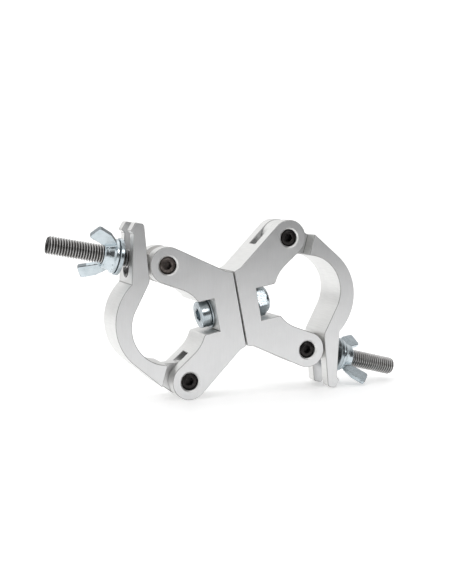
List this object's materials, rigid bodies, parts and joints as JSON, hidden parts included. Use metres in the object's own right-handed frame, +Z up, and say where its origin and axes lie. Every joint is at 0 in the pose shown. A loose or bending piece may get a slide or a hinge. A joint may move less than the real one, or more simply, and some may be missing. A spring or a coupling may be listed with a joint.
{
  "type": "swivel tube clamp",
  "caption": "Two hinged aluminium half clamps on one swivel bolt, each closed by a pinned arm, a swing eye bolt and a wing nut, to hold a pair of round tubes.",
  "frame": {"origin": "middle of the footprint, on the floor that the clamp stands on", "axes": "+X from the left half clamp to the right one along the length, +Y along the tubes and away from the socketed pin ends, +Z up"},
  "size_m": [0.2494, 0.0346, 0.1164],
  "materials": {
    "satin_aluminium": "satin, cast and machined",
    "black_oxide": "black oxide, low sheen",
    "plain_steel": "plain oiled steel",
    "bright_zinc": "bright zinc plate",
    "white_nylon": "matt"
  },
  "bodies": {
    "left_clamp": {"left_body": "satin_aluminium", "left_hinge_pin": "black_oxide", "left_bolt_pin": "black_oxide", "swivel_bolt": "bright_zinc", "swivel_head_washer": "bright_zinc", "swivel_thrust_washer": "bright_zinc", "swivel_nut_washer": "bright_zinc", "swivel_lock_nut": "bright_zinc", "swivel_nut_insert": "white_nylon"},
    "right_clamp": {"right_body": "satin_aluminium", "right_hinge_pin": "black_oxide", "right_bolt_pin": "black_oxide"},
    "left_arm": {"left_arm": "satin_aluminium"},
    "left_eye_bolt": {"left_eye_bolt": "plain_steel"},
    "left_washer": {"left_washer": "bright_zinc"},
    "left_wing_nut": {"left_wing_nut": "bright_zinc"},
    "right_arm": {"right_arm": "satin_aluminium"},
    "right_eye_bolt": {"right_eye_bolt": "plain_steel"},
    "right_washer": {"right_washer": "bright_zinc"},
    "right_wing_nut": {"right_wing_nut": "bright_zinc"}
  },
  "joints": [
    {"name": "swivel", "type": "hinge", "parent": "left_clamp", "child": "right_clamp", "pos_m": [0.00038, 0, 0.05819], "axis": [0.9829, 0, 0.1842], "continuous": true},
    {"name": "left_arm_hinge", "type": "hinge", "parent": "left_clamp", "child": "left_arm", "pos_m": [-0.03491, 0, 0.01199], "axis": [0, -1, 0], "range_deg": [0, 12]},
    {"name": "left_bolt_swing", "type": "hinge", "parent": "left_clamp", "child": "left_eye_bolt", "pos_m": [-0.04924, 0, 0.08846], "axis": [0, 1, 0], "range_deg": [0, 40]},
    {"name": "left_washer_slide", "type": "slide", "parent": "left_eye_bolt", "child": "left_washer", "axis": [-0.9823, 0, 0.1871], "range_m": [0, 0.0345]},
    {"name": "left_wing_nut_spin", "type": "hinge", "parent": "left_washer", "child": "left_wing_nut", "pos_m": [-0.07989, 0, 0.0943], "axis": [-0.9823, 0, 0.1871], "range_deg": [0, 7097.14]},
    {"name": "right_arm_hinge", "type": "hinge", "parent": "right_clamp", "child": "right_arm", "pos_m": [0.03568, 0, 0.10438], "axis": [0, -1, 0], "range_deg": [0, 10]},
    {"name": "right_bolt_swing", "type": "hinge", "parent": "right_clamp", "child": "right_eye_bolt", "pos_m": [0.05001, 0, 0.02791], "axis": [0, 1, 0], "range_deg": [0, 30]},
    {"name": "right_washer_slide", "type": "slide", "parent": "right_eye_bolt", "child": "right_washer", "axis": [0.9686, 0, -0.2484], "range_m": [0, 0.0345]},
    {"name": "right_wing_nut_spin", "type": "hinge", "parent": "right_washer", "child": "right_wing_nut", "pos_m": [0.08023, 0, 0.02016], "axis": [0.9686, 0, -0.2484], "range_deg": [0, 7097.14]}
  ],
  "couplings": [
    {"joint": "left_washer_slide", "follows": "left_wing_nut_spin", "m_per_rad": 0.00027852},
    {"joint": "left_arm_hinge", "follows": "left_wing_nut_spin", "ratio": 0.0016908},
    {"joint": "left_bolt_swing", "follows": "left_wing_nut_spin", "ratio": 0.0056361},
    {"joint": "right_washer_slide", "follows": "right_wing_nut_spin", "m_per_rad": 0.00027852},
    {"joint": "right_arm_hinge", "follows": "right_wing_nut_spin", "ratio": 0.001409},
    {"joint": "right_bolt_swing", "follows": "right_wing_nut_spin", "ratio": 0.004227}
  ]
}
